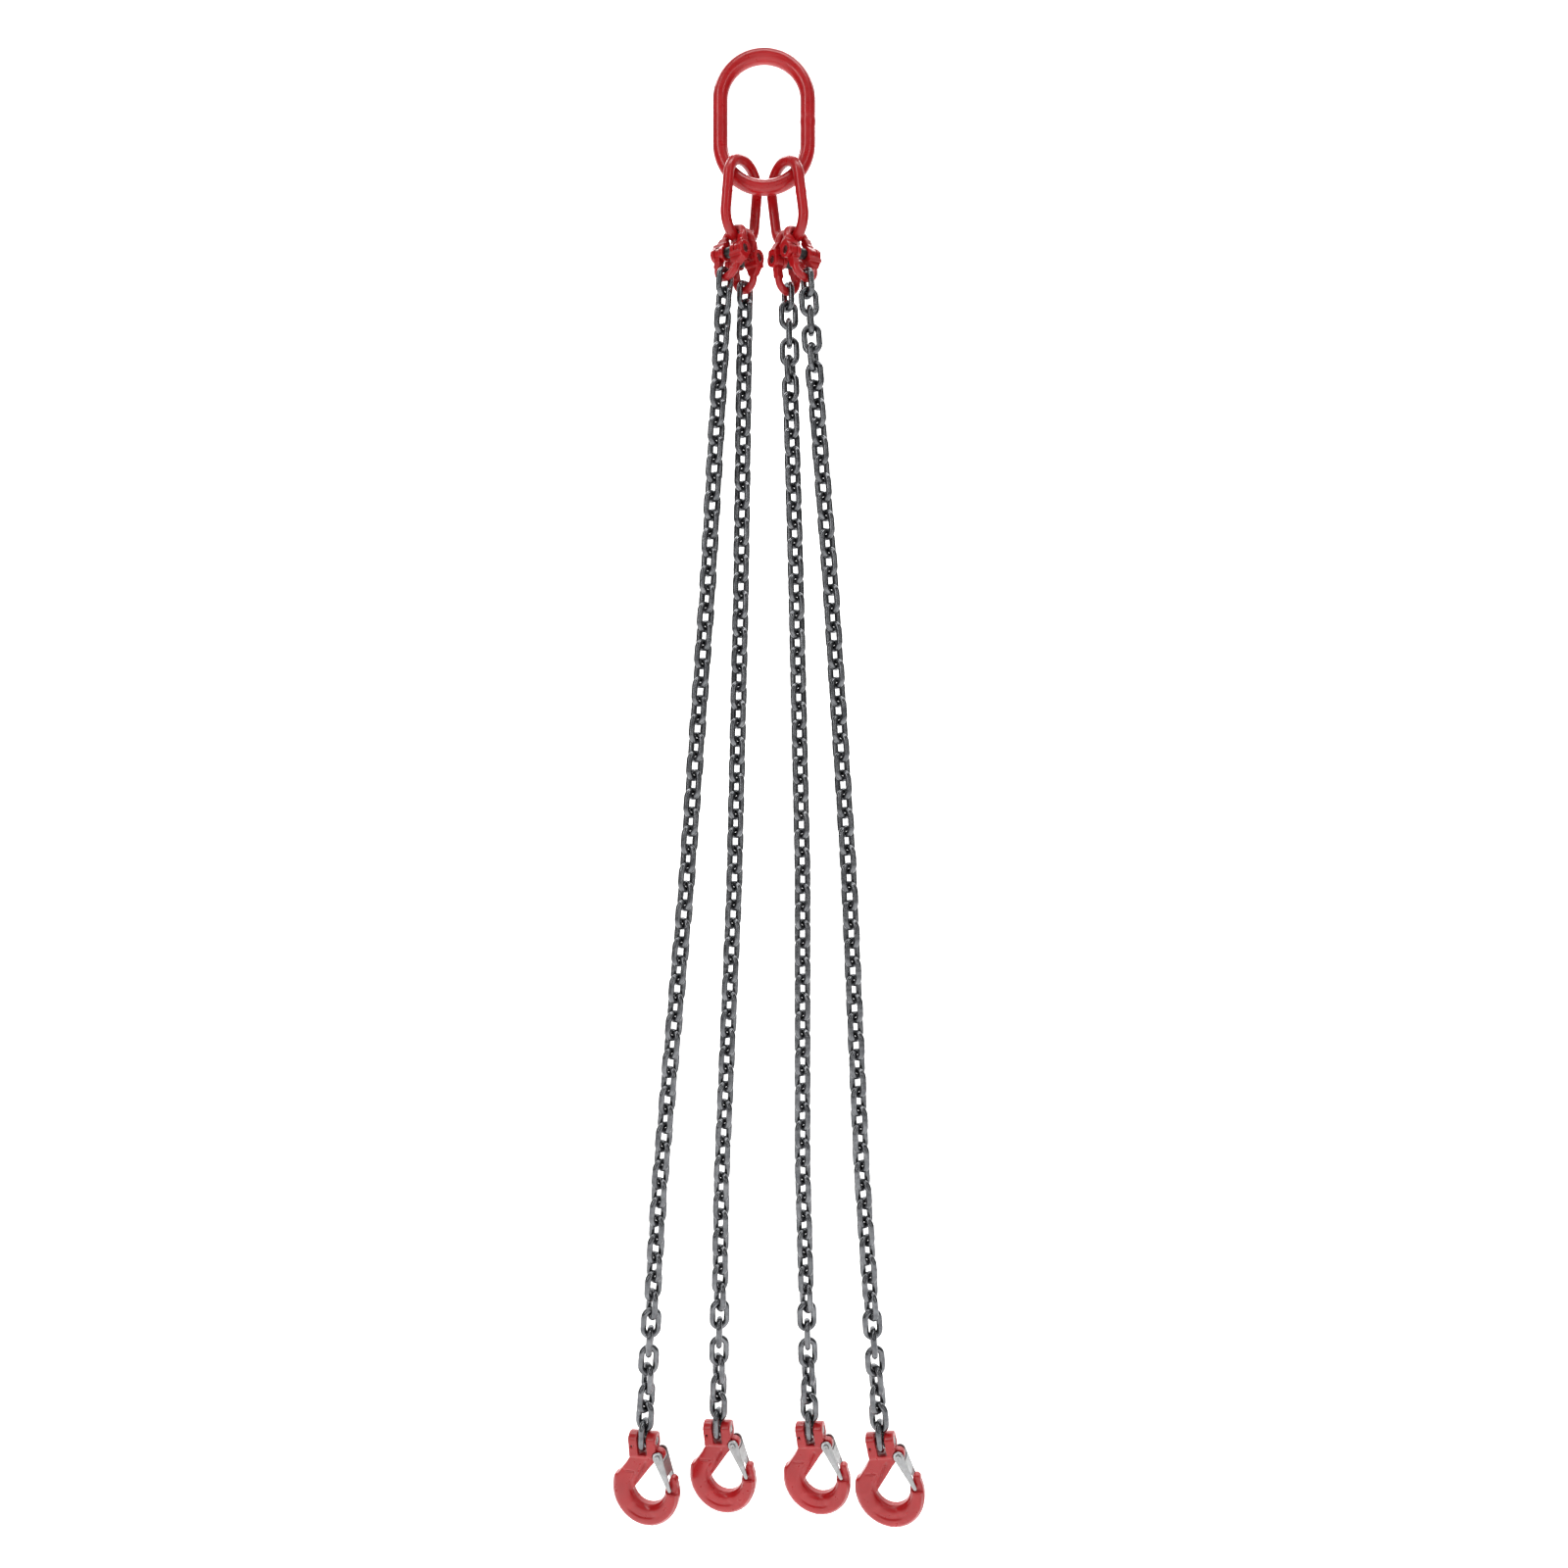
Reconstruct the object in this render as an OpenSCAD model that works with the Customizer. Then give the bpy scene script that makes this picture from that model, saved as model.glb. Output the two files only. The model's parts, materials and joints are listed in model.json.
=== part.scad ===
/* [Master link] */
// Bar diameter of the master link
master_bar = 20; // [18:0.5:20]
// Width of the master link between bar centres
master_w = 114; // [112:1:130]
// Length of the master link between bar centres
master_l = 171.5; // [160:0.5:200]

/* [Sub links] */
// Bar diameter of the two intermediate links
sub_bar = 14; // [13:0.5:14]
// Width of an intermediate link between bar centres
sub_w = 58; // [57:0.5:59]
// Length of an intermediate link between bar centres
sub_l = 103; // [100:0.5:108]
// Turn of each intermediate link away from the master link's plane
sub_yaw = 52.5; // [52:0.5:54]

/* [Coupling links] */
// Bar diameter of the coupling link bows
coupling_bar = 10; // [9:0.5:10]
// Distance from the load pin to the centre of a bow's bar
coupling_half = 36; // [35:0.5:38]
// Radius of a bow, to the bar centre
bow_r = 15; // [14:0.5:16]
// Radius of a fork's round ears
ear_r = 9.5; // [9:0.5:10]
// Diameter of the load pin
load_pin_d = 10; // [8:0.5:10]
// Length of the load pin
load_pin_l = 49; // [48:1:52]

/* [Chain] */
// Bar diameter of the chain
chain_bar = 8; // [7:0.5:8]
// Pitch of the hanging chain
chain_pitch = 24; // [24:0.5:25]
// Width of a chain link between bar centres
chain_w = 19; // [19:0.5:20]

/* [Hooks] */
// Outer radius of the hook's bowl
bowl_out_r = 45; // [44:0.5:46]
// Inner radius of the hook's bowl
bowl_in_r = 23; // [22:0.5:24]
// Thickness of the hook's bowl
bowl_t = 20; // [18:0.5:21]
// Thickness of the hook's neck
neck_t = 16; // [15:0.5:16]
// Diameter of the clevis pin
clevis_pin_d = 9; // [8:0.5:9]
// Width of the slot between the clevis ears
slot_w = 12; // [11.5:0.25:12.5]
// Width across the two clevis ears
ears_w = 37; // [35:0.5:38]

/* [Hidden] */
$fn = 48;

// gap left where two loose bars bear on each other
seat_gap = 0.5;
// gap between a pin and its bore, on the radius
pin_gap = 0.05;

// ---- node names ----

// ---- vectors and turns ----
function turn_y(a) = [[cos(a), 0, sin(a)], [0, 1, 0], [-sin(a), 0, cos(a)]];
function turn_z(a) = [[cos(a), -sin(a), 0], [sin(a), cos(a), 0], [0, 0, 1]];
// unit vector that points down and leans by a towards +X
function down(a) = [sin(a), 0, -cos(a)];

// ---- where the links hang ----
// The origin is the bearing point of a crane hook inside the master link's top crown.
master_top = master_bar / 2;
master_low = master_top - master_l;

// Sub links, left and right: place of the top crown's centre, lean and turn about Z
sub_side = [-27.5, 27.5];
sub_lean = [-4.5, 7];
sub_turn = [sub_yaw, -sub_yaw];
// height of each crown centre over the master link's lowest bar centre
sub_rise = [5, 2.8];
sub_straight = sub_l - sub_w;

// Couplings: two hang on each sub link, side by side on its bottom crown
// angle round the crown from its lowest point to a coupling
seat_angle = 19.5;
upper_splay = 14;
lower_splay = 10;
function side(i) = i % 2 == 0 ? -1 : 1;
function sub_of(i) = i < 2 ? 0 : 1;
function sub_turns(s) = turn_y(-sub_lean[s]) * turn_z(sub_turn[s]);
// a coupling's pin runs across the sub link's plane
coupling_turn = [-90, 90];
bow_drop = sub_w / 2 - (sub_bar + coupling_bar) / 2 - seat_gap;
function pin_in_sub(i) =
    [0, 0, -sub_straight] + bow_drop * down(side(i) * seat_angle)
    + coupling_half * down(side(i) * upper_splay);
function in_world(i, p) =
    [sub_side[sub_of(i)], 0, master_low + sub_rise[sub_of(i)]] + sub_turns(sub_of(i)) * p;
function pin_place(i) = in_world(i, pin_in_sub(i));
function bow_place(i) =
    in_world(i, pin_in_sub(i) + coupling_half * down(side(i) * lower_splay));

// Chains: four rigid stretches a leg, each with its own lean
// leans of the stretches a to d of each leg
leg_lean = [
    [-3.2, -4.1, -5.1, -3.6],
    [-0.8, -1.3, -2.5, -0.8],
    [1.6, 1.3, 0, 1.6],
    [4.4, 3.6, 2.5, 4.0]
];
leg_links = 63;
// first link of each stretch, and one past the last
cuts = [[0, 17, 33, 49, leg_links], [0, 16, 32, 48, leg_links]];
// length of a chain link between bar centres
link_l = chain_pitch + chain_bar + seat_gap;
// from a bar's centre to the centre of the link that hangs on it
bow_step = link_l / 2 - (coupling_bar + chain_bar) / 2 - seat_gap;
link_step = link_l / 2 - chain_bar - seat_gap;
// where the first link of stretch s of leg i hangs
function stretch_start(i, s) =
    s == 0 ? bow_place(i) : stretch_end(i, s - 1);
function stretch_links(i, s) = cuts[sub_of(i)][s + 1] - cuts[sub_of(i)][s];
function stretch_end(i, s) =
    stretch_start(i, s)
    + ((s == 0 ? bow_step : link_step) + chain_pitch * (stretch_links(i, s) - 1)
       + link_l / 2) * down(leg_lean[i][s]);

// Turn of link j about the leg, before the quarter turn of every second link: the legs
// settle at 45 degrees, and the last nine links wind round to face the clevis.
rest_turn = 45;
last_turns = [30, 15, 0, 15, 30, 45, 60, 75];
// the right-hand legs start off turned to suit their couplings
first_turns = [118, 105, 92, 79, 66, 55];
function link_turn(i, j) =
    (j >= leg_links - len(last_turns) ? last_turns[j - leg_links + len(last_turns)]
     : i > 1 && j < len(first_turns) ? first_turns[j]
     : rest_turn) + 90 * (j % 2);

// Hooks: the clevis pin lies in the last link's crown
hook_turn = last_turns[len(last_turns) - 1] - 90;
// the hook leans back on its pin until its weight hangs under the pin
hook_lean = 8;
// the last link gives way by a part of that
function last_lean(i) = leg_lean[i][3] + hook_lean * 0.35;
clevis_rise = (clevis_pin_d + chain_bar) / 2 + seat_gap;
function last_start(i) =
    stretch_end(i, 3) - chain_pitch * down(leg_lean[i][3]);
function clevis_place(i) =
    last_start(i) + (link_step + link_l / 2 - clevis_rise) * down(last_lean(i));

module at_hook(i) {
    translate(clevis_place(i))
        rotate([0, 0, hook_turn])
            rotate([0, -(leg_lean[i][3] + hook_lean), 0])
                children();
}

module at_coupling(i, splay) {
    translate(pin_place(i))
        rotate([0, -sub_lean[sub_of(i)], 0])
            rotate([0, 0, sub_turn[sub_of(i)]])
                rotate([0, -side(i) * splay, 0])
                    rotate([0, 0, coupling_turn[sub_of(i)]])
                        children();
}

// ---- welded links ----
module half_ring(r, d) {
    rotate([90, 0, 0])
        rotate_extrude(angle = 180)
            translate([r, 0])
                circle(d = d);
}

// A welded link, upright in the XZ plane, centred; w and l are between bar centres
module welded_link(d, w, l) {
    straight = l - w;
    for (end = [0, 180])
        rotate([0, end, 0])
            translate([0, 0, straight / 2])
                half_ring(w / 2, d);
    for (x = [-w / 2, w / 2])
        translate([x, 0, -straight / 2])
            cylinder(d = d, h = straight);
}

module master_link() {
    color("firebrick")
        translate([0, 0, master_top - master_l / 2])
            welded_link(master_bar, master_w, master_l);
}

module sub_link(s) {
    color("firebrick")
        translate([sub_side[s], 0, master_low + sub_rise[s]])
            rotate([0, -sub_lean[s], 0])
                rotate([0, 0, sub_turn[s]])
                    translate([0, 0, -sub_straight / 2])
                        welded_link(sub_bar, sub_w, sub_l);
}

// ---- coupling links ----
tongue_x = 16.5;
tongue_t = 8.2;
slot_t = 9;
ear_out = 26.5;
ear_in = 6.5;
tongue_r = ear_r - 1;
slot_r = tongue_r + 0.8;
// where the round bows end and the forged ends begin
bow_z = coupling_half - bow_r;

module slab(t) {
    rotate([90, 0, 0])
        linear_extrude(t, center = true)
            children();
}

module across(x0, x1, r) {
    translate([x0, 0, 0])
        rotate([0, 90, 0])
            cylinder(r = r, h = x1 - x0);
}

// forged shoulder that widens from the round bow at x into the end between x0 and x1
module shoulder(x, x0, x1, z) {
    slab(coupling_bar)
        polygon([
            [x - coupling_bar / 2, bow_z], [x + coupling_bar / 2, bow_z], [x1, z], [x0, z]
        ]);
}

module fork_end() {
    shoulder(-bow_r, -ear_out, -ear_in, slot_r + 2);
    across(-ear_out, -ear_in, ear_r);
    translate([-ear_out, -ear_r * 0.8, 0])
        cube([ear_out - ear_in, ear_r * 1.6, slot_r + 2.5]);
}

module tongue_end() {
    x0 = tongue_x - tongue_t / 2;
    shoulder(bow_r, x0, x0 + tongue_t, ear_r);
    translate([x0, -ear_r * 0.6, 0])
        cube([tongue_t, ear_r * 1.2, ear_r + 2]);
    across(x0, x0 + tongue_t, tongue_r);
}

// One forged half: a bow, a fork on the left and a tongue on the right; the pin lies on X
module coupling_half_link() {
    difference() {
        union() {
            translate([0, 0, bow_z])
                half_ring(bow_r, coupling_bar);
            fork_end();
            tongue_end();
        }
        across(-tongue_x - slot_t / 2, -tongue_x + slot_t / 2, slot_r);
        translate([-tongue_x - slot_t / 2, -ear_r * 1.5, -ear_r * 2])
            cube([slot_t, ear_r * 3, ear_r * 2]);
        across(-ear_out - 1, ear_out + 1, load_pin_d / 2 + pin_gap);
    }
}

module coupling_upper(i) {
    color("crimson")
        at_coupling(i, upper_splay)
            coupling_half_link();
}

module coupling_lower(i) {
    color("crimson")
        at_coupling(i, lower_splay)
            rotate([0, 180, 0])
                coupling_half_link();
}

module load_pin(i) {
    color("silver")
        at_coupling(i, lower_splay)
            across(-load_pin_l / 2, load_pin_l / 2, load_pin_d / 2);
}

module sleeve(i) {
    color("dimgray")
        at_coupling(i, lower_splay)
            difference() {
                across(seat_gap - ear_in, ear_in - seat_gap, load_pin_d / 2 + 1.5);
                across(-ear_in, ear_in, load_pin_d / 2 + pin_gap);
            }
}

// ---- chain ----
module chain_stretch(i, s) {
    first = cuts[sub_of(i)][s];
    count = stretch_links(i, s);
    color("darkslategray")
        for (k = [0:count - 1]) {
            last = s == 3 && k == count - 1;
            step = (s == 0 ? bow_step : link_step) + chain_pitch * k;
            hang = step - link_step;
            lean = last ? last_lean(i) : leg_lean[i][s];
            translate(stretch_start(i, s) + hang * down(leg_lean[i][s]) + link_step * down(lean))
                rotate([0, -lean, 0])
                    rotate([0, 0, link_turn(i, first + k)])
                        welded_link(chain_bar, chain_w, link_l);
        }
}

// ---- hooks: clevis pin on X at the origin, load line down Z, point towards +X ----
// bowl, between an outer and an inner circle
bowl_out = [-1.5, -62];
bowl_in = [3.5, -57];
latch_pivot = [20.9, -16.5];
latch_pin_r = 2.5;
boss_r = 7;
boss_t = 9;
ear_top_r = 11;
ear_depth = 20;
ear_drop = 18;
slot_floor = 14.6;
tip_r = 5;
tip_t = 10;
roll_pin_x = -14.5;
roll_pin_z = -4.6;
roll_pin_r = 1.5;

module bowl_outline(inset) {
    difference() {
        translate(bowl_out)
            circle(r = bowl_out_r - inset, $fn = 96);
        translate(bowl_in)
            circle(r = bowl_in_r + inset, $fn = 96);
        // throat, from the neck's slant across to the point
        polygon([
            [-18.8, -62], [14.2, -24], [14.2, 0], [60, 0], [60, -44],
            [33, -44], [33, -48], [26.5, -57]
        ]);
        // hollow of the back, above the bowl
        polygon([[-60, -43], [-38.6, -43], [-24, -27], [-19, -19], [-19, 0], [-60, 0]]);
    }
    translate([37.4, -47.6])
        circle(r = tip_r - inset / 2);
}

module neck_outline() {
    polygon([
        [-18.5, -12], [-19, -20], [-24, -27], [-38.6, -43], [-38.6, -60], [-18.8, -62],
        [9, -30], [16, -23], [16, -14], [18.5, -12]
    ]);
}

module peg(p, r, l) {
    translate([p[0], 0, p[1]])
        rotate([90, 0, 0])
            cylinder(r = r, h = l, center = true);
}

module clevis_ears() {
    intersection() {
        union() {
            across(-ears_w / 2, ears_w / 2, ear_top_r);
            translate([-ears_w / 2, -ear_depth / 2, -ear_drop])
                cube([ears_w, ear_depth, ear_drop]);
        }
        translate([-ears_w / 2, -ear_depth / 2, -ear_drop])
            cube([ears_w, ear_depth, ear_drop + ear_top_r]);
    }
}

module hook(i) {
    color("red")
        at_hook(i)
            difference() {
                union() {
                    slab(bowl_t - 5)
                        bowl_outline(0);
                    slab(bowl_t)
                        difference() {
                            bowl_outline(2.5);
                            // the neck stays thin, so that the latch can swing over it
                            translate([-30, -38])
                                square([60, 40]);
                        }
                    slab(neck_t)
                        neck_outline();
                    clevis_ears();
                    peg(latch_pivot, boss_r, neck_t);
                }
                // slot for the last chain link
                translate([-slot_w / 2, -20, -slot_floor])
                    cube([slot_w, 40, 40]);
                across(-30, 30, clevis_pin_d / 2 + pin_gap);
                peg([roll_pin_x, roll_pin_z], roll_pin_r + pin_gap, 40);
                peg(latch_pivot, latch_pin_r + pin_gap, 40);
                for (y = [-1, 1]) {
                    // room for the latch spring beside the boss
                    translate([latch_pivot[0], y * (boss_t / 2 + 10), latch_pivot[1]])
                        rotate([90, 0, 0])
                            cylinder(r = boss_r + 0.6, h = 20, center = true);
                    // the point is thinned so that the latch sits astride it
                    translate([24, y * (tip_t / 2 + 10) - 10, -59])
                        rotate([0, 12, 0])
                            cube([30, 20, 40]);
                }
            }
}

module clevis_pin(i) {
    groove = 3.4;
    color("silver")
        at_hook(i)
            difference() {
                across(-ears_w / 2 + 0.5, ears_w / 2 - 0.5, clevis_pin_d / 2);
                difference() {
                    across(roll_pin_x - groove / 2, roll_pin_x + groove / 2, clevis_pin_d);
                    across(roll_pin_x - groove, roll_pin_x + groove, -roll_pin_z - roll_pin_r - 0.1);
                }
            }
}

module roll_pin(i) {
    color("dimgray")
        at_hook(i)
            difference() {
                peg([roll_pin_x, roll_pin_z], roll_pin_r, ear_depth - 4);
                peg([roll_pin_x, roll_pin_z], roll_pin_r / 2, ear_depth);
            }
}

// ---- latch: two cheeks and a web, closed against the point ----
latch_l = 42;
latch_angle = 18;
cheek_r = 6.5;
nose_r = 2.2;
cheek_t = 1.8;
cheek_y = neck_t / 2 + 0.3;

module at_latch() {
    translate([latch_pivot[0], 0, latch_pivot[1]])
        rotate([0, -latch_angle, 0])
            children();
}

module cheek_outline() {
    // the straight edges touch both circles
    a = asin((cheek_r - nose_r) / latch_l);
    polygon([
        cheek_r * [cos(a), -sin(a)], cheek_r * [-cos(a), -sin(a)],
        [-nose_r * cos(a), -latch_l - nose_r * sin(a)], [nose_r * cos(a), -latch_l - nose_r * sin(a)]
    ]);
    circle(r = cheek_r);
    translate([0, -latch_l])
        circle(r = nose_r);
}

module latch(i) {
    color("darkgray")
        at_hook(i)
            at_latch()
                difference() {
                    union() {
                        for (y = [-1, 1])
                            translate([0, y * (cheek_y + cheek_t / 2), 0])
                                slab(cheek_t)
                                    cheek_outline();
                        // web along the outer edge, short of the point
                        translate([0, 0, -25])
                            rotate([0, asin((cheek_r - nose_r) / latch_l), 0])
                                translate([2.1, -cheek_y - 0.5, 0])
                                    cube([1.8, cheek_y * 2 + 1, 18]);
                    }
                    peg([0, 0], latch_pin_r + pin_gap, 40);
                }
}

module latch_pin(i) {
    head_t = 1.2;
    shank = 2 * (cheek_y + cheek_t) + 0.6;
    color("gainsboro")
        at_hook(i)
            at_latch() {
                peg([0, 0], latch_pin_r, shank);
                for (y = [-1, 1])
                    translate([0, y * (shank + head_t) / 2, 0])
                        peg([0, 0], latch_pin_r + 1, head_t);
            }
}

// ---- latch spring: a bent wire round the pivot, one leg on the neck and one on the web ----
spring_wire = 1.1;
spring_r = 4.1;
spring_leg = 4.8;
// place along the pin, beside the boss
spring_y = -(boss_t / 2 + spring_wire / 2 + 0.3);

module latch_spring(i) {
    color("silver")
        at_hook(i)
            at_latch()
                translate([0, spring_y, 0]) {
                    half_ring(spring_r, spring_wire);
                    for (x = [-spring_r, spring_r])
                        translate([x, 0, -spring_leg])
                            cylinder(d = spring_wire, h = spring_leg);
                }
}

// ---- the parts ----
master_link();
sub_link(0);  // sub_link_left
sub_link(1);  // sub_link_right
for (i = [0:3]) {
    coupling_upper(i);
    coupling_lower(i);
    load_pin(i);
    sleeve(i);
    chain_stretch(i, 0);
    chain_stretch(i, 1);
    chain_stretch(i, 2);
    chain_stretch(i, 3);
    hook(i);
    clevis_pin(i);
    roll_pin(i);
    latch(i);
    latch_pin(i);
    latch_spring(i);
}
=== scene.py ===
import bpy
import json
import math
import numpy as np
from mathutils import Matrix, Vector


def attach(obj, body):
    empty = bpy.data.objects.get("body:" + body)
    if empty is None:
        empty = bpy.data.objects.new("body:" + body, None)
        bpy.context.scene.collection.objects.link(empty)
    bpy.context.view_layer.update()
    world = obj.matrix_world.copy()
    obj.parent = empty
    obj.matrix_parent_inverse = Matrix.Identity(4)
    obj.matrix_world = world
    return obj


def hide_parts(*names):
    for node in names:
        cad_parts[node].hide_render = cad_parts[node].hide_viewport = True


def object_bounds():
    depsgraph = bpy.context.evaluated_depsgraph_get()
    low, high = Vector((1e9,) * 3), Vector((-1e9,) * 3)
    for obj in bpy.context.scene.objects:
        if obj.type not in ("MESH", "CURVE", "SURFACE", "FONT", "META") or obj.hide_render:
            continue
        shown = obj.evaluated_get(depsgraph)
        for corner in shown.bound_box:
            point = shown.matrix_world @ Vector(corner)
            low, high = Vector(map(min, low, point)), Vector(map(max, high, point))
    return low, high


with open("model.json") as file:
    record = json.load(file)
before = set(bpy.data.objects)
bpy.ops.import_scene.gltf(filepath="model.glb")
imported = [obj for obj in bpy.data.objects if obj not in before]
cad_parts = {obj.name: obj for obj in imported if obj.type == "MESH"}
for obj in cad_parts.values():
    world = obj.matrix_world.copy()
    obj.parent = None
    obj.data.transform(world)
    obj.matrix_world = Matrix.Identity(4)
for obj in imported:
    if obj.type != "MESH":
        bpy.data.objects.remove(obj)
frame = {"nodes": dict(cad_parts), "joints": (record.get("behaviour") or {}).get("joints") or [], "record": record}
cad_box = [list(corner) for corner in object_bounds()]
NODES = frame["nodes"]
BODY_OF = {node: body for body, nodes in frame["record"]["behaviour"]["bodies"].items() for node in nodes}
JOINTS = {joint["name"]: joint for joint in frame["joints"]}
LEGS = (1, 2, 3, 4)
MM = 0.001


# ---- materials ----

def new_material(name, colour, roughness, metallic):
    """A material whose shader has constants for metallic and the base roughness."""
    material = bpy.data.materials.new(name)
    material.use_nodes = True
    shader = material.node_tree.nodes["Principled BSDF"]
    shader.inputs["Base Color"].default_value = (*colour, 1)
    shader.inputs["Roughness"].default_value = roughness
    shader.inputs["Metallic"].default_value = metallic
    return material, material.node_tree, shader


def noise(tree, scale, detail=4.0, roughness=0.55, stretch=(1, 1, 1)):
    """Object-space noise; scale is in features per metre."""
    place = tree.nodes.new("ShaderNodeTexCoord")
    mapping = tree.nodes.new("ShaderNodeMapping")
    mapping.inputs["Scale"].default_value = stretch
    texture = tree.nodes.new("ShaderNodeTexNoise")
    texture.inputs["Scale"].default_value = scale
    texture.inputs["Detail"].default_value = detail
    texture.inputs["Roughness"].default_value = roughness
    tree.links.new(place.outputs["Object"], mapping.inputs["Vector"])
    tree.links.new(mapping.outputs["Vector"], texture.inputs["Vector"])
    return texture.outputs["Fac"]


def ramp(tree, value, stops):
    """Colour ramp; stops are (position, (r, g, b))."""
    node = tree.nodes.new("ShaderNodeValToRGB")
    elements = node.color_ramp.elements
    while len(elements) < len(stops):
        elements.new(0.5)
    for element, (position, colour) in zip(elements, stops):
        element.position = position
        element.color = (*colour, 1)
    tree.links.new(value, node.inputs["Fac"])
    return node.outputs["Color"]


def grey(value):
    return (value, value, value)


def bump(tree, shader, height, strength, distance):
    node = tree.nodes.new("ShaderNodeBump")
    node.inputs["Strength"].default_value = strength
    node.inputs["Distance"].default_value = distance
    tree.links.new(height, node.inputs["Height"])
    tree.links.new(node.outputs["Normal"], shader.inputs["Normal"])


def mix(tree, factor, first, second):
    """Colour mix; the inputs are sockets or colours."""
    node = tree.nodes.new("ShaderNodeMix")
    node.data_type = "RGBA"
    for name, value in (("A", first), ("B", second)):
        socket = [s for s in node.inputs if s.name == name and s.type == "RGBA"][0]
        if isinstance(value, tuple):
            socket.default_value = (*value, 1)
        else:
            tree.links.new(value, socket)
    tree.links.new(factor, node.inputs["Factor"])
    return [s for s in node.outputs if s.type == "RGBA"][0]


def red_paint():
    """Glossy red enamel over forged steel, slightly orange-peeled and uneven in its depth of colour."""
    material, tree, shader = new_material("red_paint", (0.45, 0.003, 0.006), 0.32, 0.0)
    shade = ramp(tree, noise(tree, 26, 3), [(0.30, (0.38, 0.002, 0.004)), (0.70, (0.46, 0.003, 0.006))])
    tree.links.new(shade, shader.inputs["Base Color"])
    gloss = ramp(tree, noise(tree, 140, 4), [(0.3, grey(0.26)), (0.7, grey(0.38))])
    tree.links.new(gloss, shader.inputs["Roughness"])
    shader.inputs["Coat Weight"].default_value = 0.25
    shader.inputs["Coat Roughness"].default_value = 0.10
    bump(tree, shader, noise(tree, 420, 4), 0.06, 0.0004)
    return material


def chain_steel():
    """Dark quenched steel under a thin film of oil, with brighter rubbed patches."""
    material, tree, shader = new_material("chain_steel", (0.16, 0.165, 0.175), 0.24, 1.0)
    scale = ramp(tree, noise(tree, 90, 6), [(0.32, (0.10, 0.103, 0.11)), (0.68, (0.22, 0.225, 0.235))])
    rub = ramp(tree, noise(tree, 33, 3), [(0.60, grey(0)), (0.75, grey(0.35))])
    tree.links.new(mix(tree, rub, scale, (0.34, 0.34, 0.345)), shader.inputs["Base Color"])
    gloss = ramp(tree, noise(tree, 170, 5), [(0.3, grey(0.17)), (0.7, grey(0.29))])
    tree.links.new(gloss, shader.inputs["Roughness"])
    bump(tree, shader, noise(tree, 520, 6, 0.65), 0.10, 0.0004)
    return material


def pin_steel():
    """Bright turned steel with fine rings along the bar."""
    material, tree, shader = new_material("pin_steel", (0.50, 0.50, 0.51), 0.28, 1.0)
    tint = ramp(tree, noise(tree, 160, 4), [(0.3, grey(0.16)), (0.7, grey(0.28))])
    tree.links.new(tint, shader.inputs["Base Color"])
    gloss = ramp(tree, noise(tree, 500, 3, stretch=(4, 0.4, 0.4)), [(0.3, grey(0.20)), (0.7, grey(0.38))])
    tree.links.new(gloss, shader.inputs["Roughness"])
    bump(tree, shader, noise(tree, 900, 2, stretch=(4, 0.3, 0.3)), 0.15, 0.0003)
    return material


def dark_steel():
    """Blackened steel with a dull, grainy skin."""
    material, tree, shader = new_material("dark_steel", (0.045, 0.045, 0.05), 0.45, 1.0)
    tint = ramp(tree, noise(tree, 210, 5), [(0.3, grey(0.025)), (0.7, grey(0.085))])
    tree.links.new(tint, shader.inputs["Base Color"])
    gloss = ramp(tree, noise(tree, 330, 4), [(0.3, grey(0.35)), (0.7, grey(0.55))])
    tree.links.new(gloss, shader.inputs["Roughness"])
    bump(tree, shader, noise(tree, 700, 5), 0.25, 0.0004)
    return material


def zinc():
    """Galvanised sheet with a faint spangle and scuffs along its length."""
    material, tree, shader = new_material("zinc", (0.52, 0.53, 0.54), 0.40, 1.0)
    place = tree.nodes.new("ShaderNodeTexCoord")
    spangle = tree.nodes.new("ShaderNodeTexVoronoi")
    spangle.inputs["Scale"].default_value = 260
    tree.links.new(place.outputs["Object"], spangle.inputs["Vector"])
    crystals = ramp(tree, spangle.outputs["Color"], [(0.0, (0.36, 0.362, 0.365)), (1.0, (0.44, 0.443, 0.45))])
    dull = ramp(tree, noise(tree, 95, 5), [(0.40, grey(0)), (0.75, grey(0.7))])
    tree.links.new(mix(tree, dull, crystals, (0.30, 0.295, 0.285)), shader.inputs["Base Color"])
    gloss = ramp(tree, noise(tree, 240, 4), [(0.3, grey(0.30)), (0.7, grey(0.52))])
    tree.links.new(gloss, shader.inputs["Roughness"])
    bump(tree, shader, noise(tree, 800, 4, stretch=(1, 1, 0.25)), 0.18, 0.0003)
    return material


MATERIALS = {
    "red_paint": red_paint(),
    "chain_steel": chain_steel(),
    "pin_steel": pin_steel(),
    "dark_steel": dark_steel(),
    "zinc": zinc(),
}


# ---- measuring the CAD nodes ----

def node_arrays(node):
    """Vertices and triangles of a CAD node, with vertices in the same place merged."""
    mesh = NODES[node].data
    mesh.calc_loop_triangles()
    points = np.array([v.co for v in mesh.vertices])
    triangles = np.array([t.vertices for t in mesh.loop_triangles])
    _, first, merged = np.unique(np.round(points, 6), axis=0, return_index=True, return_inverse=True)
    return points[first], merged.ravel()[triangles]


def islands(points, triangles):
    """The triangles of each separate solid in a node, as one group for each."""
    label = np.arange(len(points))
    while True:
        lowest = label[triangles].min(axis=1)
        before = label.copy()
        for corner in range(3):
            np.minimum.at(label, triangles[:, corner], lowest)
        label = label[label]
        if (label == before).all():
            break
    owner = label[triangles[:, 0]]
    return [triangles[owner == name] for name in np.unique(owner)]


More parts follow.
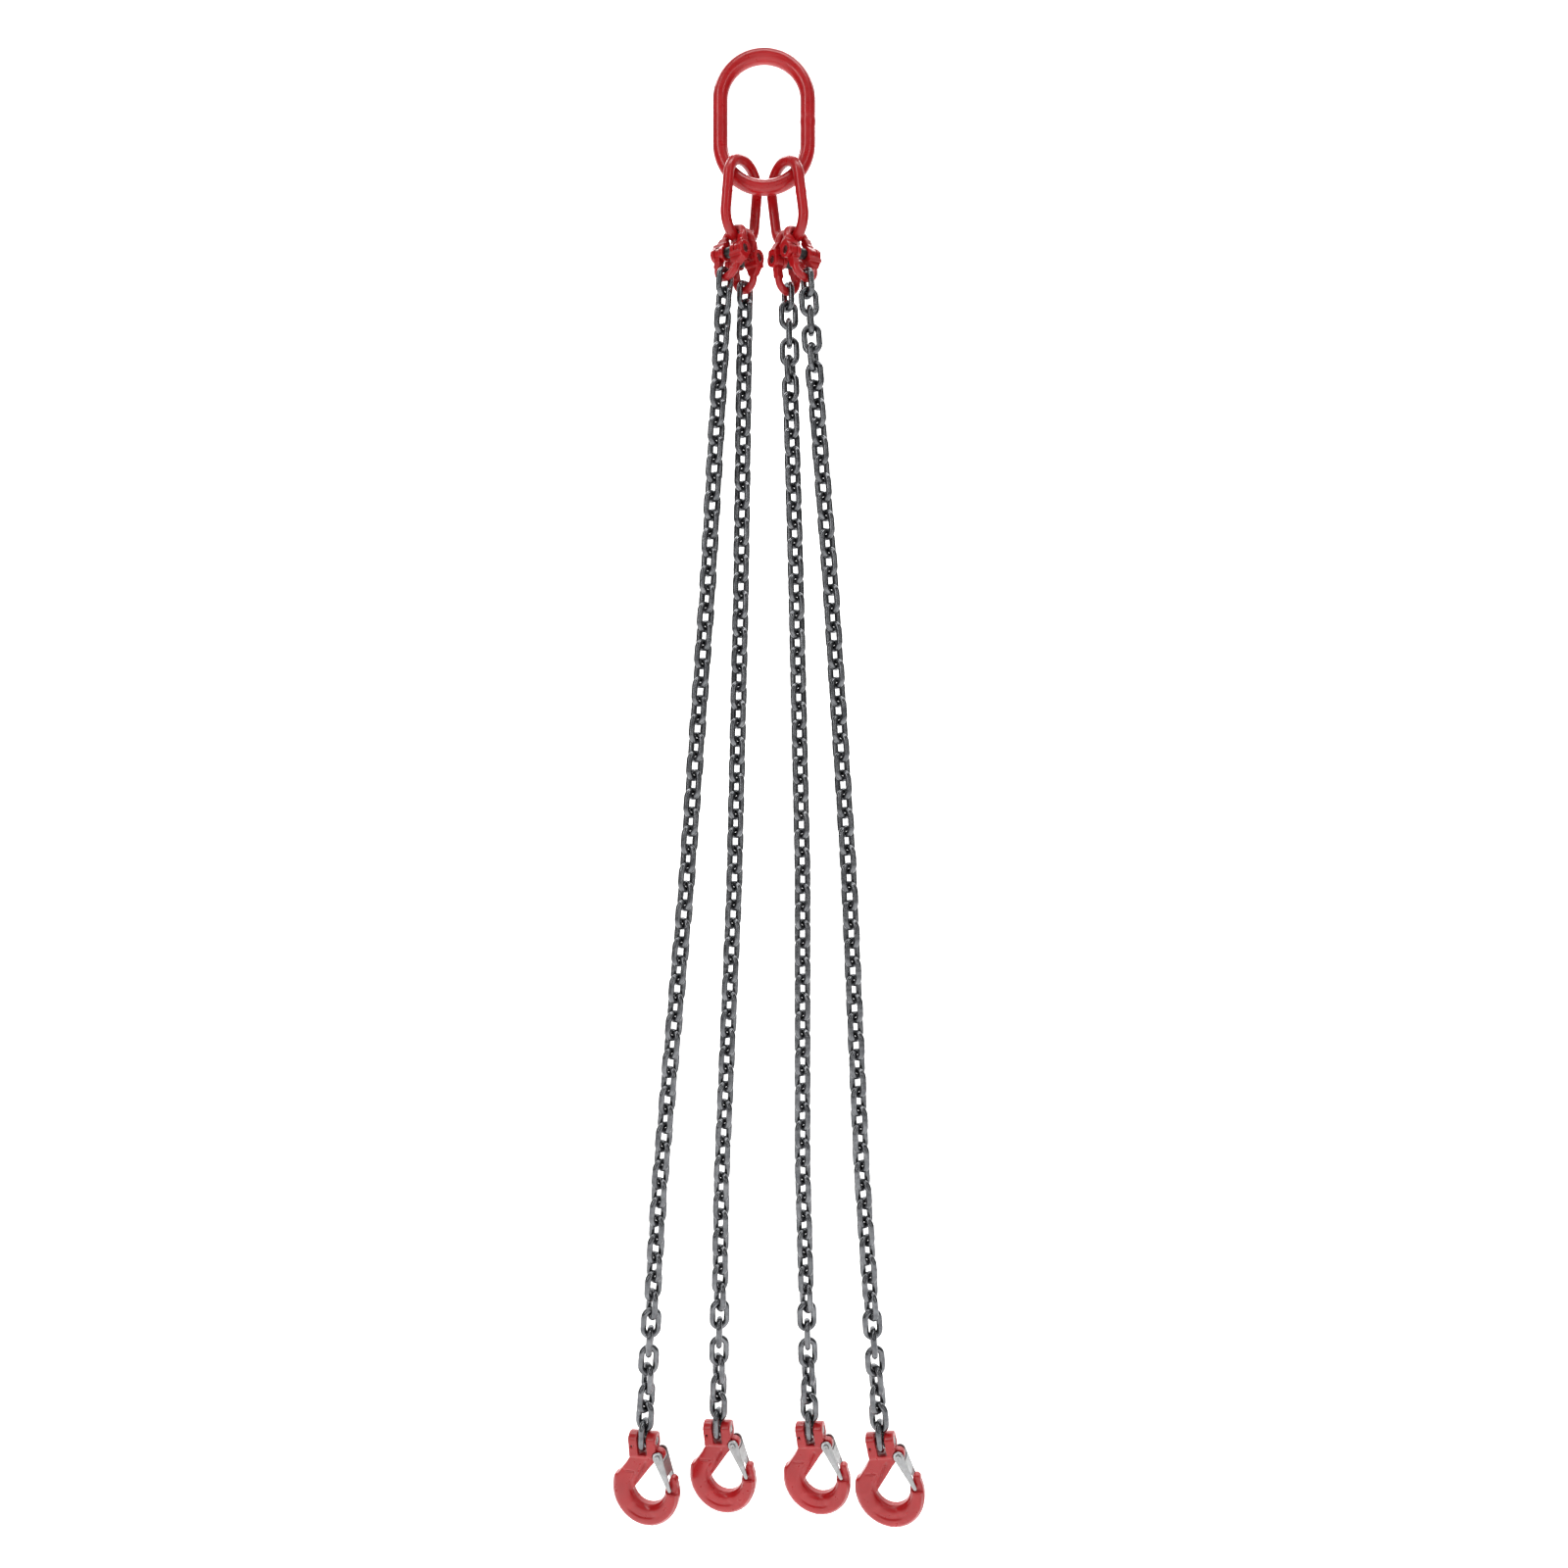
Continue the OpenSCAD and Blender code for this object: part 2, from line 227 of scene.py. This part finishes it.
def link_frame(points, triangles):
    """Frame of one welded link (columns: width, normal, length, then centre), and its bar and size."""
    corners = points[triangles]
    areas = np.linalg.norm(np.cross(corners[:, 1] - corners[:, 0], corners[:, 2] - corners[:, 0]), axis=1)
    centre = (corners.mean(axis=1) * areas[:, None]).sum(axis=0) / areas.sum()
    corners = corners - centre
    total = corners.sum(axis=1)
    moments = np.einsum("n,nki,nkj->ij", areas, corners, corners) + np.einsum("n,ni,nj->ij", areas, total, total)
    axes = np.linalg.eigh(moments)[1]
    normal, width, length = axes[:, 0], axes[:, 1], axes[:, 2]
    if length[2] < 0:
        length = -length
    normal = np.cross(length, width)
    matrix = np.eye(4)
    matrix[:3, 0], matrix[:3, 1], matrix[:3, 2], matrix[:3, 3] = width, normal, length, centre
    used = corners.reshape(-1, 3)
    spans = [np.ptp(used @ axis) for axis in (normal, width, length)]
    return Matrix(matrix.tolist()), spans


# ---- welded links ----

def link_points(bar, width, length, steps, sides):
    """Grid of points round a welded link in its own frame: width on X, normal on Y, length on Z."""
    radius = (width - bar) / 2
    straight = length - width
    round_part = math.pi * radius
    whole = 2 * (straight + round_part)
    # the weld is a low ring round the middle of one side
    weld_at = round_part + straight / 2
    rows = []
    for k in range(steps):
        s = whole * k / steps
        if s < round_part:
            angle = s / radius
            middle = (radius * math.cos(angle), straight / 2 + radius * math.sin(angle))
            out = (math.cos(angle), math.sin(angle))
        elif s < round_part + straight:
            middle = (-radius, straight / 2 - (s - round_part))
            out = (-1.0, 0.0)
        elif s < 2 * round_part + straight:
            angle = math.pi + (s - round_part - straight) / radius
            middle = (radius * math.cos(angle), -straight / 2 + radius * math.sin(angle))
            out = (math.cos(angle), math.sin(angle))
        else:
            middle = (radius, -straight / 2 + (s - 2 * round_part - straight))
            out = (1.0, 0.0)
        away = (s - weld_at) / (bar * 0.16)
        swell = 1 + 0.055 * math.exp(-away * away) - 0.012 * math.exp(-(abs(away) - 2.2) ** 2)
        # the bar keeps its true size except at the weld, a touch under it all round
        thick = bar / 2 * 0.995 * swell
        for n in range(sides):
            turn = 2 * math.pi * n / sides
            rows.append((
                middle[0] + thick * math.cos(turn) * out[0],
                thick * math.sin(turn),
                middle[1] + thick * math.cos(turn) * out[1],
            ))
    return rows


def link_faces(steps, sides, first):
    faces = []
    for k in range(steps):
        for n in range(sides):
            a, b = k * sides, (k + 1) % steps * sides
            m = (n + 1) % sides
            faces.append((first + a + n, first + b + n, first + b + m, first + a + m))
    return faces


def finish_piece(piece, node, slot):
    """Smooths a piece, paints it, and lets it ride and stand for its CAD node."""
    for polygon in piece.data.polygons:
        polygon.use_smooth = True
    piece.data.materials.clear()
    piece.data.materials.append(MATERIALS[slot])
    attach(piece, BODY_OF[node])
    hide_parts(node)


def new_piece(name, vertices, faces):
    mesh = bpy.data.meshes.new(name)
    mesh.from_pydata(vertices, [], faces)
    mesh.update()
    piece = bpy.data.objects.new(name, mesh)
    bpy.context.scene.collection.objects.link(piece)
    return piece


def welded_links(node, slot, steps, sides):
    """Detailed links in the place of every link of a CAD node."""
    points, triangles = node_arrays(node)
    vertices, faces = [], []
    for k, solid in enumerate(islands(points, triangles)):
        matrix, (bar, width, length) = link_frame(points, solid)
        if k % 2:
            # welds alternate from side to side
            matrix = matrix @ Matrix.Rotation(math.pi, 4, "Z")
        grid = link_points(bar, width, length, steps, sides)
        faces += link_faces(steps, sides, len(vertices))
        vertices += [matrix @ Vector(p) for p in grid]
    piece = new_piece(node + "_welded", vertices, faces)
    finish_piece(piece, node, slot)
    return piece


# ---- forgings ----

def joint_frame(across_joint, side_joint):
    """Frame of a hook: its pin on X, the latch pin's direction on Y, and the clevis pin's centre."""
    x = Vector(across_joint["axis"]).normalized()
    y = Vector(side_joint["axis"]).normalized()
    z = x.cross(y).normalized()
    matrix = Matrix((x, y, z)).transposed().to_4x4()
    matrix.translation = Vector(across_joint["pos_m"])
    return matrix


def copy_of(node, name):
    """A copy of a CAD node's mesh as a new object, merged so that it is closed."""
    points, triangles = node_arrays(node)
    return new_piece(name, [tuple(p) for p in points], [tuple(int(v) for v in t) for t in triangles])


def apply_modifiers(piece):
    """Replaces the piece's mesh by what its modifiers make of it."""
    bpy.context.view_layer.update()
    evaluated = piece.evaluated_get(bpy.context.evaluated_depsgraph_get())
    mesh = bpy.data.meshes.new_from_object(evaluated)
    piece.modifiers.clear()
    old = piece.data
    piece.data = mesh
    bpy.data.meshes.remove(old)


def forge(node, name, voxel, rounds):
    """A CAD solid as a forging: remeshed evenly, with its edges rounded over."""
    piece = copy_of(node, name)
    remesh = piece.modifiers.new("even", "REMESH")
    remesh.mode = "VOXEL"
    remesh.voxel_size = voxel
    smooth = piece.modifiers.new("rounded", "SMOOTH")
    smooth.factor = 0.5
    smooth.iterations = rounds
    apply_modifiers(piece)
    return piece


def smooth_step(value, low, high):
    t = np.clip((value - low) / (high - low), 0, 1)
    return t * t * (3 - 2 * t)


# the hook's outline in its own frame: clevis pin on X at the origin, load line down Z, millimetres
BOWL_OUT = np.array([-1.5, -62.0])
BOWL_OUT_R = 45.0
BOWL_IN = np.array([3.5, -57.0])
BOWL_IN_R = 23.0
BOWL_HALF = 10.0
NECK_HALF = 8.0
# crease down the neck, from the clevis slot to the inner edge of the bowl
CREASE = np.array([[7.0, -17.0], [-4.0, -34.0], [-14.5, -52.0]])
# raised edge low in the bowl, between two angles round the bowl's centre
BEAD_R = 32.5
BEAD_FROM = 215.0
BEAD_TO = 300.0


def to_segment(x, z, start, end):
    """Distance in the XZ plane from points to a segment, and how far along it they are."""
    line = end - start
    t = np.clip(((x - start[0]) * line[0] + (z - start[1]) * line[1]) / (line @ line), 0, 1)
    return np.hypot(x - start[0] - t * line[0], z - start[1] - t * line[1])


def local_half(x, z, side, cell=1.0):
    """Half thickness of the solid round each point, in the XZ plane, from the largest |y| near it."""
    column = np.floor((x - x.min()) / cell).astype(int) + 1
    row = np.floor((z - z.min()) / cell).astype(int) + 1
    grid = np.zeros((column.max() + 2, row.max() + 2))
    np.maximum.at(grid, (column, row), side)
    reach = [grid[column + i, row + j] for i in (-1, 0, 1) for j in (-1, 0, 1)]
    return np.maximum(np.max(reach, axis=0), 0.5)


def shape_hook(piece, matrix):
    """Gives the hook one smooth section from neck to point, with the lines that its forging dies leave."""
    inverse = np.array(matrix.inverted())
    world = np.array([v.co for v in piece.data.vertices])
    local = (world @ inverse[:3, :3].T + inverse[:3, 3]) / MM
    x, y, z = local.T
    side = np.abs(y)
    half = local_half(x, z, side)
    # how far across the bowl's section a point lies, from 0 inside to 1 outside
    reach_in = np.hypot(x - BOWL_IN[0], z - BOWL_IN[1]) - BOWL_IN_R
    reach_out = BOWL_OUT_R - np.hypot(x - BOWL_OUT[0], z - BOWL_OUT[1])
    t = np.clip(reach_in / np.maximum(reach_in + reach_out, 0.001), 0, 1)
    rounded = np.maximum(BOWL_HALF * (1 - np.abs(2 * t - 1) ** 3.4) ** (1 / 2.6), 0.5 * BOWL_HALF)
    in_bowl = 1 - smooth_step(z, -62, -38)
    # the point keeps its own thickness, and so do the clevis ears and the latch boss
    at_point = smooth_step(x, 19, 27) * smooth_step(z, -66, -58)
    wanted = (NECK_HALF * (1 - in_bowl) + rounded * in_bowl) * (1 - at_point) + half * at_point
    below_ears = 1 - smooth_step(z, -27, -21)
    wanted = half * (1 - below_ears) + wanted * below_ears
    side = side / half * wanted
    on_side = smooth_step(side / half, 0.6, 0.85) * below_ears
    crease = np.minimum(to_segment(x, z, CREASE[0], CREASE[1]), to_segment(x, z, CREASE[1], CREASE[2]))
    side -= on_side * 2.4 * np.exp(-(crease / 1.6) ** 2)
    angle = np.degrees(np.arctan2(z - BOWL_OUT[1], x - BOWL_OUT[0])) % 360
    fade = smooth_step(angle, BEAD_FROM, BEAD_FROM + 18) * (1 - smooth_step(angle, BEAD_TO - 18, BEAD_TO))
    radius = np.hypot(x - BOWL_OUT[0], z - BOWL_OUT[1])
    side -= on_side * fade * 1.1 * smooth_step(-radius, -BEAD_R - 1.0, -BEAD_R + 1.0)
    local[:, 1] = np.sign(y) * side
    forward = np.array(matrix)
    world = (local * MM) @ forward[:3, :3].T + forward[:3, 3]
    piece.data.vertices.foreach_set("co", world.astype(np.float32).ravel())
    piece.data.update()
    # the back of the neck flows into the bowl without a step
    back = (x < -27) & (z > -58) & (z < -33) | (z > -30) & (z < -15) & (side / half > 0.9) & (np.abs(x) < 17)
    group = piece.vertex_groups.new(name="flowing")
    group.add([int(v) for v in np.flatnonzero(back)], 1.0, "REPLACE")
    melt = piece.modifiers.new("flowing", "SMOOTH")
    melt.vertex_group = "flowing"
    melt.factor = 0.5
    melt.iterations = 60
    apply_modifiers(piece)


def hooks():
    for leg in LEGS:
        node = f"hook_{leg}"
        matrix = joint_frame(JOINTS[f"hook_{leg}_swing"], JOINTS[f"latch_{leg}_open"])
        piece = forge(node, node + "_forging", 0.9 * MM, 5)
        shape_hook(piece, matrix)
        smooth = piece.modifiers.new("settled", "SMOOTH")
        smooth.factor = 0.5
        smooth.iterations = 4
        apply_modifiers(piece)
        finish_piece(piece, node, "red_paint")


def coupling_halves():
    for leg in LEGS:
        for half in ("upper", "lower"):
            node = f"coupling_{leg}_{half}"
            piece = forge(node, node + "_forging", 0.6 * MM, 5)
            finish_piece(piece, node, "red_paint")


# ---- turned pieces ----

def lathe(name, profile, matrix, sides=40):
    """A turned piece along Y of its frame; profile is (radius, place along Y), closed at both ends."""
    vertices, faces = [], []
    for radius, along in profile:
        for n in range(sides):
            turn = 2 * math.pi * n / sides
            vertices.append(matrix @ Vector((radius * math.cos(turn), along, radius * math.sin(turn))))
    for k in range(len(profile) - 1):
        for n in range(sides):
            m = (n + 1) % sides
            faces.append((k * sides + n, (k + 1) * sides + n, (k + 1) * sides + m, k * sides + m))
    faces.append(tuple(range(sides)))
    faces.append(tuple((len(profile) - 1) * sides + n for n in reversed(range(sides))))
    return new_piece(name, vertices, faces)


def latch_rivets():
    """Each latch turns on a rivet with a domed head and a peened dimple at both ends."""
    for leg in LEGS:
        node = f"latch_pin_{leg}"
        joint = JOINTS[f"latch_{leg}_open"]
        matrix = joint_frame(JOINTS[f"hook_{leg}_swing"], joint)
        matrix.translation = Vector(joint["pos_m"])
        points, _ = node_arrays(node)
        along = np.abs((points - np.array(joint["pos_m"])) @ np.array(joint["axis"]))
        half = along.max()
        off = points - np.array(joint["pos_m"])
        radial = np.linalg.norm(off - np.outer(off @ np.array(joint["axis"]), np.array(joint["axis"])), axis=1)
        head = radial.max()
        shank = head - 1.0 * MM
        seat = half - 1.2 * MM
        end = [
            (shank, 0), (shank, seat), (head * 0.97, seat), (head, seat + 0.2 * MM), (head * 0.94, half - 0.45 * MM),
            (head * 0.78, half - 0.12 * MM), (head * 0.55, half), (head * 0.38, half - 0.05 * MM),
            (head * 0.28, half - 0.35 * MM), (head * 0.05, half - 0.45 * MM),
        ]
        profile = [(radius, -y) for radius, y in reversed(end)] + end[1:]
        piece = lathe(node + "_rivet", profile, matrix)
        finish_piece(piece, node, "zinc")


# ---- carried-over CAD nodes ----

def carry_over(node, slot, edge):
    """Keeps a CAD node, paints it and softens its sharp edges."""
    piece = NODES[node]
    piece.data.materials.clear()
    piece.data.materials.append(MATERIALS[slot])
    for polygon in piece.data.polygons:
        polygon.use_smooth = True
    weld = piece.modifiers.new("closed", "WELD")
    weld.merge_threshold = 0.00001
    if edge:
        bevel = piece.modifiers.new("eased", "BEVEL")
        bevel.width = edge
        bevel.segments = 2
        bevel.limit_method = "ANGLE"
        bevel.angle_limit = math.radians(40)
        bevel.harden_normals = True


def small_parts():
    for leg in LEGS:
        carry_over(f"load_pin_{leg}", "pin_steel", 0.6 * MM)
        carry_over(f"sleeve_{leg}", "dark_steel", 0.4 * MM)
        carry_over(f"clevis_pin_{leg}", "pin_steel", 0.5 * MM)
        carry_over(f"roll_pin_{leg}", "dark_steel", 0.2 * MM)
        carry_over(f"latch_{leg}", "zinc", 0.35 * MM)
        carry_over(f"latch_spring_{leg}", "pin_steel", 0)


# ---- stage ----

def camera():
    """Level view from the front, half way down the sling, as wide as the sling is long."""
    low, high = (Vector(corner) for corner in cad_box)
    view = bpy.data.cameras.new("camera")
    view.lens = 24.75
    view.sensor_width = 36
    eye = bpy.data.objects.new("camera", view)
    eye.location = (0.026, -1.406, (low.z + high.z) / 2)
    eye.rotation_euler = (math.radians(90), 0, 0)
    bpy.context.scene.collection.objects.link(eye)
    bpy.context.scene.camera = eye


def area_light(name, place, aim, size, power):
    data = bpy.data.lights.new(name, "AREA")
    data.shape = "RECTANGLE"
    data.size, data.size_y = size
    data.energy = power
    light = bpy.data.objects.new(name, data)
    light.location = place
    light.rotation_euler = (Vector(aim) - Vector(place)).to_track_quat("-Z", "Y").to_euler()
    bpy.context.scene.collection.objects.link(light)


def stage():
    """Pale floor that curves up into a backdrop, with soft boxes at both sides and above."""
    low, high = (Vector(corner) for corner in cad_box)
    floor_z = low.z - 0.25
    back_y, bend, half = 3.2, 1.0, 7.0
    profile = [(-5.0, floor_z)]
    for k in range(17):
        angle = math.pi / 2 * k / 16
        profile.append((back_y - bend + bend * math.sin(angle), floor_z + bend - bend * math.cos(angle)))
    profile.append((back_y, high.z + 4.0))
    vertices = [(x, y, z) for y, z in profile for x in (-half, half)]
    faces = [(2 * k, 2 * k + 1, 2 * k + 3, 2 * k + 2) for k in range(len(profile) - 1)]
    sweep = new_piece("studio_sweep", vertices, faces)
    for polygon in sweep.data.polygons:
        polygon.use_smooth = True
    material, tree, shader = new_material("studio_white", (0.93, 0.93, 0.93), 0.9, 0.0)
    tint = ramp(tree, noise(tree, 1.5, 2), [(0.3, grey(0.92)), (0.7, grey(0.94))])
    tree.links.new(tint, shader.inputs["Base Color"])
    shader.inputs["Emission Color"].default_value = (1, 1, 1, 1)
    shader.inputs["Emission Strength"].default_value = 0.55
    sweep.data.materials.append(material)
    middle = (0, 0, (low.z + high.z) / 2)
    area_light("key", (-1.5, -1.7, 0.2), middle, (0.35, 3.0), 19)
    area_light("fill", (1.6, -1.9, -0.3), middle, (0.28, 3.0), 10)
    area_light("top", (0.2, -0.9, 1.5), (0, 0, -0.5), (1.4, 0.5), 13)
    area_light("front", (0, -3.2, -0.4), middle, (1.2, 2.6), 9)
    area_light("backdrop", (0, 1.2, 2.4), (0, 3.2, -1.2), (4.5, 1.5), 160)
    world = bpy.data.worlds.new("studio")
    world.use_nodes = True
    world.node_tree.nodes["Background"].inputs["Color"].default_value = (1, 1, 1, 1)
    world.node_tree.nodes["Background"].inputs["Strength"].default_value = 0.14
    bpy.context.scene.world = world
    bpy.context.scene.view_settings.view_transform = "Standard"


camera()
stage()
welded_links("master_link", "red_paint", 160, 36)
welded_links("sub_link_left", "red_paint", 120, 30)
welded_links("sub_link_right", "red_paint", 120, 30)
for leg in LEGS:
    for stretch in "abcd":
        welded_links(f"chain_{leg}_{stretch}", "chain_steel", 44, 14)
coupling_halves()
hooks()
latch_rivets()
small_parts()
